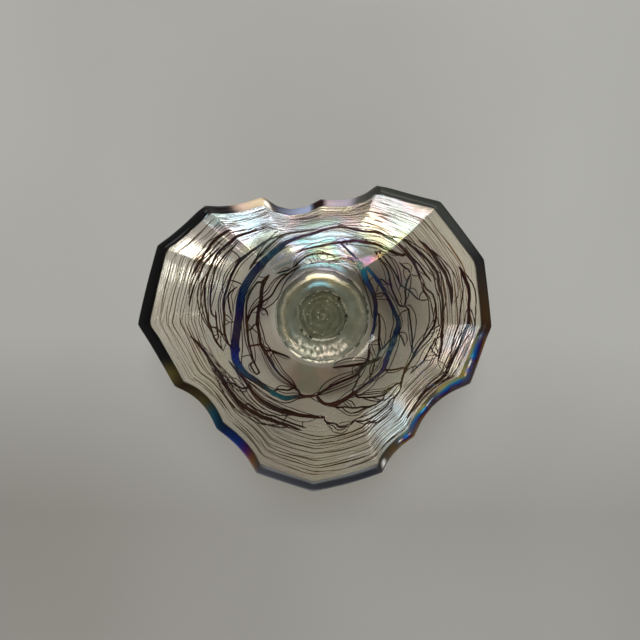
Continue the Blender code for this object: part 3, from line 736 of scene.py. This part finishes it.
def lip_glass():
    """The wrap on the lip: nearly black, with painted reflections: oily film colours in the front, paler
    window reflections at the back, light lines along its edges and glints on three corners.
    """
    glass = Shader("lip_glass_dark")
    radial = glass.unit(glass.outward())
    across = glass.vector("DOT_PRODUCT", radial, glass.node("ShaderNodeNewGeometry").outputs["Normal"])
    # From 73 to 131 degrees, at the back, the paler tones are the window's reflection painted into the
    # colour.
    dark = glass.tones_about(
        (0, (0.03, 0.016, 0.006)), (20, (0.012, 0.012, 0.013)), (28, (0.03, 0.032, 0.03)),
        (66, (0.03, 0.032, 0.026)), (73, (0.08, 0.075, 0.07)), (77, (0.36, 0.32, 0.38)),
        (87, (0.4, 0.32, 0.34)), (90, (0.016, 0.008, 0.008)), (95, (0.016, 0.008, 0.008)),
        (97, (0.26, 0.3, 0.42)), (103, (0.22, 0.25, 0.36)), (115, (0.025, 0.02, 0.02)),
        (118, (0.6, 0.48, 0.3)), (127, (0.5, 0.36, 0.28)), (131, (0.012, 0.01, 0.01)),
        (146, (0.006, 0.006, 0.006)), (196, (0.006, 0.006, 0.006)), (201, (0.05, 0.04, 0.012)),
        (207, (0.012, 0.007, 0.004)), (217, (0.034, 0.027, 0.009)), (222, (0.006, 0.032, 0.044)),
        (229, (0.004, 0.009, 0.028)), (237, (0.004, 0.014, 0.08)), (241, (0.036, 0.007, 0.044)),
        (244, (0.085, 0.036, 0.008)), (248, (0.04, 0.043, 0.05)), (272, (0.022, 0.023, 0.026)),
        (288, (0.016, 0.018, 0.024)), (298, (0.05, 0.034, 0.014)), (322, (0.02, 0.008, 0.006)),
        (350, (0.014, 0.006, 0.006)),
    )
    drift = glass.patches(34, 0.3, 0.7, -0.2, 0.2, detail=1)
    reach = glass.round_about((0, 1), (299, 1), (335, 0.8), (348, 0.9))
    # The oily film colours are painted in by which way each side of the band faces, as its reflection shows
    # them.
    oil = glass.ramp(
        glass.plus(glass.times(glass.remap(across, -1.1, 0.25), reach), drift),
        (0.02, (0.3, 0.25, 0.06)), (0.12, (0.1, 0.2, 0.12)), (0.24, (0.006, 0.08, 0.22)),
        (0.46, (0.004, 0.014, 0.12)), (0.6, (0.008, 0.004, 0.022)), (0.8, (0.05, 0.016, 0.006)),
        (0.96, (0.13, 0.06, 0.015)),
    )
    oily = glass.round_about(
        (0, 0), (299, 0), (305, 0.9), (318, 0.9), (322, 0.35), (329, 0.8), (342, 1), (350, 0.6),
        (356, 0),
    )
    oily = glass.times(oily, glass.patches(75, 0.36, 0.5, 0.35, detail=1))
    # Painted highlights: the inner edge is lighter in the front, and the outer one has a thin bright line
    # at the back right.
    inner = glass.round_about((0, 0), (245, 0), (250, 0.3), (288, 0.3), (294, 0))
    outer = glass.round_about(
        (0, 0.1), (15, 0.2), (24, 0.8), (64, 0.9), (72, 0.1), (110, 0.1), (180, 0),
    )
    inner = glass.times(glass.remap(across, -0.9, -0.6, 1, 0), inner)
    outer = glass.times(glass.remap(across, 0.66, 0.76), outer)
    line = glass.larger(inner, outer)
    tone = glass.blend(line, glass.blend(oily, dark, oil), (0.5, 0.51, 0.5))
    # Painted glints: three corners are near white in the colour itself.
    corners = glass.round_about(
        (0, 0), (116, 0), (116.7, 1), (117.4, 0), (136.4, 0), (137, 1), (137.6, 0),
        (291.7, 0), (292.2, 1), (292.7, 0),
    )
    on_top = glass.remap(glass.math("ABSOLUTE", across), 0.2, 0.45, 1, 0)
    painted_corner_glint = glass.times(corners, on_top)
    glass.set(
        Base_Color=glass.blend(painted_corner_glint, tone, (1, 0.98, 0.92)),
        Roughness=0.16,
        Specular_IOR_Level=glass.remap(oily, 0, 1, 0.2, 0.3),
        IOR=glass.remap(oily, 0, 1, 1.28, 1.46),
        Thin_Film_Thickness=glass.remap(oily, 0, 1, 0, 260),
        Thin_Film_IOR=1.6,
    )
    return glass.material


# ---- The pieces ----


def rib_columns(rim):
    """The columns of the wall where two panels meet: those where the rim turns most."""
    steps = np.roll(rim, -1, axis=0) - rim
    steps /= np.linalg.norm(steps, axis=1)[:, None]
    turns = np.linalg.norm(steps - np.roll(steps, 1, axis=0), axis=1)
    phase = max(range(COLUMNS_PER_PANEL), key=lambda k: turns[k::COLUMNS_PER_PANEL].sum())
    return set(range(phase, len(rim), COLUMNS_PER_PANEL))


def wall_skin(rows):
    """The outside of the wall and bottom as a coarse cage with its ribs creased."""
    up = rows[-1] - rows[-2]
    up /= np.linalg.norm(up, axis=1)[:, None]
    rows = list(rows) + [rows[-1] + up * WALL_INTO_LIP]
    middle = rows[0].mean(axis=0)
    inner = [middle + (rows[0] - middle) * share for share in BOTTOM_RINGS]
    skin = bmesh.new()
    climb = skin.verts.layers.float.new("climb")
    crease = skin.edges.layers.float.new("crease_edge")
    centre = skin.verts.new(middle)
    rings = [[skin.verts.new(point) for point in row] for row in inner + rows]
    ribs = rib_columns(rows[-2])
    for row, ring in enumerate(rings):
        for vertex in ring:
            vertex[climb] = max(0, row - len(inner)) / (len(rows) - 1)
    for k in range(len(rings[0])):
        skin.faces.new((rings[0][k - 1], rings[0][k], centre))
        for low, high in zip(rings, rings[1:]):
            face = skin.faces.new((low[k - 1], high[k - 1], high[k], low[k]))
            if k in ribs:
                edge = next(e for e in face.edges if low[k] in e.verts and high[k] in e.verts)
                edge[crease] = RIB_CREASE * high[k][climb] ** RIB_FADE
    bmesh.ops.recalc_face_normals(skin, faces=skin.faces)
    skin.faces.ensure_lookup_table()
    if skin.faces[0].normal.z > 0:
        bmesh.ops.reverse_faces(skin, faces=skin.faces)
    return skin


def make_wall(inside, outside, joined):
    """The wall as smooth glass. Gives back its outside, for the trails to lie on."""
    rows, thickness = wall_rows()
    skin = wall_skin(rows)
    bottom = rows[0][:, 2].mean() + LEVEL
    for face in skin.faces:
        face.material_index = 3 if face.calc_center_median().z < bottom else 1
    wall = new_piece("blown_wall", skin, "bowl_wall", "clear_glass", inside, outside, inside, joined)
    subdivide(wall, WALL_SUBDIVISIONS)
    # The trails are laid on the smooth outside, as it is before the wall gets its thickness.
    outer = bmesh.new()
    outer.from_object(wall, bpy.context.evaluated_depsgraph_get())
    smooth_outside = BVHTree.FromBMesh(outer)
    outer.free()
    shell = wall.modifiers.new("Thickness", "SOLIDIFY")
    shell.thickness = thickness
    shell.offset = -1
    shell.material_offset = -1
    return smooth_outside


def arc(centre, radius, start, end, steps):
    """Points (r, z) on an arc of a profile. Angles are degrees, 0 outwards and 90 up."""
    turns = [math.radians(start + (end - start) * k / steps) for k in range(steps + 1)]
    return [(centre[0] + radius * math.cos(t), centre[1] + radius * math.sin(t)) for t in turns]


def make_base(glass, joined, pontil, pontil_edge):
    """The base pad turned again at full smoothness, with its pontil scar a little out of round."""
    solid = welded("base_pad")
    spots = np.array([[(v.co - AXIS).xy.length, v.co.z] for v in solid.verts])
    solid.free()
    top = spots[:, 1].max()
    radius = spots[:, 0].max()
    on_floor = spots[spots[:, 1] < LEVEL][:, 0]
    scar, flat_end = on_floor.min(), on_floor.max()
    depth = spots[spots[:, 0] < LEVEL][:, 1].min()
    edge = radius - flat_end
    ball = ((scar - PONTIL_BEAD) ** 2 + depth**2) / (2 * depth)
    rim = math.degrees(math.acos((scar - PONTIL_BEAD) / ball))
    ground = arc((0, depth - ball), ball, 90, rim, 12)
    inward = (scar - PONTIL_STEP) / scar
    hollow = [(reach * inward, max(height, PONTIL_STEP)) for reach, height in ground]
    hollow[0] = (AXIS_GAP, depth)
    profile = hollow + arc((scar, PONTIL_BEAD), PONTIL_BEAD, -170, -90, 4)
    profile += arc((flat_end, edge), edge, -90, 0, 8)
    profile += arc((flat_end, top - edge), edge, 0, 90, 8)
    profile += [(radius * 0.5, top), (AXIS_GAP, top)]
    turned = bmesh.new()
    rings = []
    for reach, height in profile:
        wobble = math.exp(-(((reach - scar) / PONTIL_FADE) ** 2))
        ring = []
        for k in range(LATHE_STEPS):
            turn = 2 * math.pi * k / LATHE_STEPS
            uneven = PONTIL_OVAL * math.sin(2 * turn + 0.6) + PONTIL_LOBES * math.sin(5 * turn)
            spot = Vector((math.cos(turn), math.sin(turn), 0)) * reach * (1 + wobble * uneven)
            ring.append(turned.verts.new(AXIS + spot + Vector((0, 0, height))))
        rings.append(ring)
    for low, high in zip(rings, rings[1:]):
        for k in range(LATHE_STEPS):
            face = turned.faces.new((low[k - 1], low[k], high[k], high[k - 1]))
            middle = face.calc_center_median() - AXIS
            if middle.z > top - LEVEL:
                face.material_index = 1
            elif middle.xy.length < scar - PONTIL_STEP:
                face.material_index = 2
            elif middle.xy.length < scar or middle.xy.length > flat_end + 0.4 * edge:
                face.material_index = 3
    turned.faces.new(rings[0]).material_index = 2
    turned.faces.new(rings[-1]).material_index = 1
    bmesh.ops.recalc_face_normals(turned, faces=turned.faces)
    new_piece("ground_base", turned, "base_pad", "base_glass", glass, joined, pontil, pontil_edge)


def make_lip(glass):
    """The wrap on the lip: smooth, with crisp corners, and thicker in two places."""
    solid = welded("lip_wrap")
    bmesh.ops.join_triangles(
        solid, faces=solid.faces, angle_face_threshold=ANY_ANGLE, angle_shape_threshold=ANY_ANGLE
    )
    crease = solid.edges.layers.float.new("crease_edge")
    for edge in solid.edges:
        middle = (edge.verts[0].co + edge.verts[1].co) / 2 - AXIS
        along = Vector((-middle.y, middle.x, 0)).normalized()
        across = abs((edge.verts[0].co - edge.verts[1].co).normalized().dot(along)) < 0.5
        if across and edge.calc_face_angle(0) > LIP_CORNER:
            edge[crease] = LIP_CREASE
    solid.normal_update()
    for vertex in solid.verts:
        angle = math.degrees(math.atan2(vertex.co.y - AXIS.y, vertex.co.x - AXIS.x)) % 360
        for middle, spread, swell in LIP_SWELLS:
            vertex.co += vertex.normal * swell * math.exp(-(((angle - middle) / spread) ** 2))
    lip = new_piece("dark_lip", solid, "lip_wrap", "lip_glass", glass)
    subdivide(lip, LIP_SUBDIVISIONS)


class Strand:
    """A cord of glass on the smooth wall: places along it, outward normals and half widths."""

    def __init__(self, surface, points, step=TRAIL_STEP):
        self.surface = surface
        self.follow(points, step)

    def follow(self, points, step):
        """Takes the path through rows of (x, y, z, half width), laid on the wall."""
        samples = through(np.array(points), step)
        hits = [self.surface.find_nearest(Vector(sample[:3])) for sample in samples]
        self.places = np.array([hit[0] for hit in hits])
        self.normals = blurred(np.array([hit[1] for hit in hits]), NORMAL_EVENING)
        self.normals /= np.linalg.norm(self.normals, axis=1)[:, None]
        self.half_widths = samples[:, 3]
        self.along = np.concatenate([[0], np.cumsum(np.linalg.norm(np.diff(self.places, axis=0), axis=1))])

    def asides(self):
        """The directions across the strand, in the wall's surface."""
        aside = np.cross(self.normals, np.gradient(self.places, axis=0))
        return aside / np.linalg.norm(aside, axis=1)[:, None]

    def reach_to(self, others):
        """Runs each end on to the nearest other trail, where there is one within reach."""
        samples = np.column_stack([self.places, self.half_widths])
        for end, step in ((0, LOOK_BACK), (-1, -1 - LOOK_BACK)):
            tip = self.places[end]
            gap = np.linalg.norm(others - tip, axis=1)
            nearest = others[gap.argmin()]
            ahead = tip - self.places[min(max(step, -len(self.places)), len(self.places) - 1)]
            if gap.min() < END_REACH and ahead @ (nearest - tip) > 0:
                joint = np.array([[*nearest, samples[end][3]]])
                samples = np.vstack([joint, samples] if end == 0 else [samples, joint])
        keep = np.linspace(0, len(samples) - 1, max(2, len(samples) // 3)).round().astype(int)
        self.follow(samples[np.unique(keep)], TRAIL_STEP)

    def swell_near(self, others):
        """Widens the strand where it meets another, as melted glass does."""
        for k, place in enumerate(self.places):
            gap = np.linalg.norm(others - place, axis=1).min()
            self.half_widths[k] *= 1 + JOINT_SWELL * math.exp(-((gap / JOINT_REACH) ** 2))

    def add_to(self, cord, sides=TRAIL_SIDES, bulge=TRAIL_BULGE, thinnest=TRAIL_TIP):
        """Adds the strand as a flattened cord, sunk a little into the wall and tapered at its ends."""
        depth = cord.verts.layers.float["depth_mm"]
        to_end = np.minimum(self.along, self.along[-1] - self.along)
        taper = np.sqrt(np.clip(to_end / END_TAPER, thinnest, 1))
        aside = self.asides()
        half = (self.half_widths * taper * bulge)[:, None]
        height = np.minimum(half * TRAIL_FLATNESS, TRAIL_HIGHEST)
        columns = []
        for turn in (2 * math.pi * k / sides for k in range(sides)):
            rise = math.sin(turn) * (height if math.sin(turn) > 0 else np.minimum(height, TRAIL_SUNK))
            ring = self.places + aside * half * math.cos(turn) + self.normals * rise
            column = [cord.verts.new(point) for point in ring]
            for vertex, thick in zip(column, height):
                vertex[depth] = math.sin(turn) * thick[0] / MM
            columns.append(column)
        for last, this in zip(columns[-1:] + columns, columns):
            for row in range(len(self.along) - 1):
                cord.faces.new((last[row], this[row], this[row + 1], last[row + 1]))
        cord.faces.new([column[0] for column in reversed(columns)])
        cord.faces.new([column[-1] for column in columns])


def cord_piece(name, node, slot, glasses, strands, **shape):
    """One piece from a main strand and the thin ones that belong to it, which have the last glass."""
    cord = bmesh.new()
    cord.verts.layers.float.new("depth_mm")
    strands[0].add_to(cord, **shape)
    thick = len(cord.faces)
    for hair in strands[1:]:
        hair.add_to(cord, sides=HAIR_SIDES, thinnest=HAIR_TIP)
    cord.faces.ensure_lookup_table()
    for face in cord.faces[thick:]:
        face.material_index = len(glasses) - 1
    bmesh.ops.recalc_face_normals(cord, faces=cord.faces)
    new_piece(name, cord, node, slot, *glasses)


def trail_of(name, surface):
    """A trail's strand, read from its solid."""
    middles = []
    for ring in trail_rings(name):
        feet = sorted(ring, key=lambda point: surface.find_nearest(Vector(point))[3])[:2]
        middles.append([*(feet[0] + feet[1]) / 2, np.linalg.norm(feet[0] - feet[1]) / 2])
    return Strand(surface, middles)


def companion(trail, draw):
    """A hair that leaves a trail, runs beside it and joins it again."""
    length = min(draw.uniform(*COMPANION_LENGTHS), 0.8 * trail.along[-1])
    start = draw.uniform(0, trail.along[-1] - length)
    part = (trail.along >= start) & (trail.along <= start + length)
    share = (trail.along[part] - start) / length
    lean = draw.uniform(0.6, 1.6)
    away = draw.choice((-1, 1)) * draw.uniform(*COMPANION_OFFSETS) * np.sin(math.pi * share**lean) ** 0.7
    points = trail.places[part] + trail.asides()[part] * away[:, None]
    half_width = draw.uniform(*HAIR_HALF_WIDTHS)
    samples = np.column_stack([points, np.full(len(points), half_width)])
    return Strand(trail.surface, np.vstack([samples[:-1:5], samples[-1:]]), HAIR_STEP)


def strut(trail, others, draw):
    """A slanting hair from a trail to the one beside it, or None where no other trail is near enough."""
    start = trail.places[draw.randrange(len(trail.places))]
    gap = np.linalg.norm(others - start, axis=1)
    nearest = others[gap.argmin()]
    if not STRUT_SPANS[0] < gap.min() < STRUT_SPANS[1]:
        return None
    slant = draw.uniform(*STRUT_SLANTS)
    ends = others[np.abs(np.linalg.norm(others - nearest, axis=1) - slant) < TRAIL_STEP]
    end = ends[draw.randrange(len(ends))] if len(ends) else nearest
    facing = trail.surface.find_nearest(Vector(start))[1]
    middle = (start + end) / 2 + np.cross(end - start, facing) * draw.uniform(-STRUT_BOW, STRUT_BOW)
    half_width = draw.uniform(*HAIR_HALF_WIDTHS)
    foot_width = half_width * 1.5
    points = [[*start, foot_width], [*middle, half_width], [*end, foot_width]]
    return Strand(trail.surface, points, HAIR_STEP)


def lies_clear(hair, others):
    """Whether most of a hair, apart from its ends, keeps clear of every other strand."""
    middle = hair.places[len(hair.places) // 5 : -(len(hair.places) // 5) or None]
    gaps = np.array([np.linalg.norm(others - place, axis=1).min() for place in middle])
    return (gaps > HAIR_CLEARANCE).mean() > HAIR_CLEAR_SHARE


def hairs_of(trail, others, draw):
    """The hairs of one trail: each is drawn again, a few times at most, until it lies clear."""
    crowded = 1 + FRONT_CROWDING * (trail.places[:, 1] < AXIS.y - FRONT_FROM).mean()
    makers = [lambda: companion(trail, draw)] * round(crowded * trail.along[-1] / COMPANION_EVERY)
    makers += [lambda: strut(trail, others, draw)] * round(crowded * trail.along[-1] / STRUT_EVERY)
    around = np.vstack([others, trail.places])
    found = []
    for make in makers:
        for _ in range(HAIR_TRIES):
            hair = make()
            if hair and lies_clear(hair, around):
                found.append(hair)
                around = np.vstack([around, hair.places])
                break
    return found


def make_trails(surface, dark, heavy):
    trails = {name: trail_of(name, surface) for name in TRAIL_NAMES}

    def others_than(trail):
        return np.vstack([other.places for other in trails.values() if other is not trail])

    for trail in trails.values():
        trail.reach_to(others_than(trail))
    for trail in trails.values():
        trail.swell_near(others_than(trail))
    draw = random.Random(HAIR_SEED)
    laid = np.zeros((0, 3))
    for name, trail in trails.items():
        is_heavy = name.startswith("heavy")
        hairs = hairs_of(trail, np.vstack([others_than(trail), laid]), draw)
        laid = np.vstack([laid, *(hair.places for hair in hairs)])
        glasses = [heavy, dark] if is_heavy else [dark]
        bulge = HEAVY_BULGE if is_heavy else TRAIL_BULGE
        cord_piece(f"melted_{name}", name, "dark_glass", glasses, [trail, *hairs], bulge=bulge)


def wavering(path, shift, seed):
    """The fine thread's path, moved up and down the wall by slow noise, more so in its lower turns."""
    asides = path.asides()
    asides *= np.sign(asides[:, 2:])
    low = 1 - path.along / path.along[-1]
    moved = []
    for place, up, lowness in zip(path.places, asides, low):
        slow = noise.noise(Vector(place) * SLOW_WAVES + Vector((0, 0, seed + 3 * lowness)))
        quick = noise.noise(Vector(place) * QUICK_WAVES + Vector((0, seed, 12 * lowness)))
        rise = shift + THREAD_WAVER * (slow + 0.6 * quick) - THREAD_SPREAD * lowness * (1 + slow)
        swell = noise.noise(Vector(place) * WIDTH_WAVES + Vector((seed, 0, 9 * lowness)))
        width = THREAD_HALF_WIDTH * max(0.3, 0.75 + 1.1 * swell)
        moved.append([*(place + up * rise), width])
    return blurred(np.array(moved), THREAD_EVENING)


def make_thread(surface, glass):
    """The fine thread: the solid's spiral, wavering, with a thinner one between its turns."""
    path = trail_of("fine_spiral_thread", surface)
    strands = []
    for seed, shift in enumerate(THREAD_SHIFTS):
        samples = wavering(path, shift, 5 * seed)
        samples[:, 3] *= 1 - 0.4 * (seed > 0)
        strands.append(Strand(surface, samples[::3], THREAD_STEP))
    cord_piece("melted_thread", "fine_spiral_thread", "thread_glass", [glass], strands, sides=HAIR_SIDES)


# ---- The stage ----


def make_floor():
    bpy.ops.mesh.primitive_plane_add(size=FLOOR_SIZE, location=(0, 0, -FLOOR_GAP))
    floor = bpy.context.object
    floor.name = "floor"
    paper = Shader("floor_paper")
    # Painted shade: the floor's colour is darker and warmer in the front and to the left, where the shade
    # lies.
    right = paper.remap(paper.vector("DOT_PRODUCT", paper.place(), (1, 0, 0)), -0.17, 0.17, 0.0, 0.4)
    back = paper.remap(paper.vector("DOT_PRODUCT", paper.place(), (0, 1, 0)), -0.13, 0.0, 0.0, 0.6)
    drift = paper.patches(3.0, 0.3, 0.7, -0.08, 0.08)
    tone = paper.plus(right, back, drift)
    paper.set(
        Base_Color=paper.ramp(tone, (0, (0.175, 0.167, 0.148)), (1, (0.355, 0.352, 0.333))),
        Roughness=0.8,
    )
    # Far away the floor glows faintly in the room's colour, painted light that hides its edge, as a studio
    # sweep does.
    far = paper.remap(paper.vector("LENGTH", paper.place()), 0.5, 1.8)
    paper.set(Emission_Color=(*ROOM, 1), Emission_Strength=paper.times(far, 0.12))
    floor.data.materials.append(paper.material)


def area_light(name, azimuth, elevation, distance, width, height, power):
    data = bpy.data.lights.new(name, "AREA")
    data.shape = "RECTANGLE"
    data.size = width
    data.size_y = height
    data.energy = power
    light = linked(name, data)
    turn, rise = math.radians(azimuth), math.radians(elevation)
    aim = AXIS + Vector((0, 0, AIM_HEIGHT))
    flat = Vector((math.cos(turn), math.sin(turn), 0)) * math.cos(rise)
    light.location = aim + (flat + Vector((0, 0, math.sin(rise)))) * distance
    light.rotation_euler = (light.location - aim).to_track_quat("Z", "Y").to_euler()
    return light


def make_lights():
    area_light("window_front", -100, 14, 1.2, 1.3, 0.7, 22)
    area_light("window_left", 142, 30, 1.0, 0.5, 0.4, 3)
    ceiling = area_light("ceiling", 88, 66, 1.4, 0.6, 0.6, 15.5)
    # The ceiling lights the scene without showing in the glass.
    ceiling.visible_glossy = False
    ceiling.visible_transmission = False
    world = bpy.data.worlds.new("room")
    world.use_nodes = True
    background = world.node_tree.nodes["Background"]
    background.inputs["Color"].default_value = (*ROOM, 1)
    background.inputs["Strength"].default_value = 0.2
    bpy.context.scene.world = world
    bpy.context.scene.view_settings.view_transform = "Standard"


def make_camera():
    """Straight down, as a phone held over the bowl sees it, a little towards its front."""
    data = bpy.data.cameras.new("camera")
    data.sensor_width = 36
    data.lens = LENS
    camera = linked("camera", data)
    camera.location = AXIS + Vector(CAMERA_OFFSET) * MM
    bpy.context.scene.camera = camera


joined = joined_glass()
surface = make_wall(clear_glass(), threaded_glass(), joined)
make_base(base_glass(), joined, pontil_glass(), pontil_rim())
make_lip(lip_glass())
make_trails(
    surface,
    dark_glass("trail_glass", (0.018, 0.006, 0.004), (0.42, 0.17, 0.09), 3.4),
    dark_glass("heavy_trail_glass", heavy_body_and_glare, (0.14, 0.08, 0.08), 7.0, film_share=0.15),
)
make_thread(surface, dark_glass("thread_glass_fine", thread_body, (0.56, 0.42, 0.27), 2.6))
make_floor()
make_lights()
make_camera()
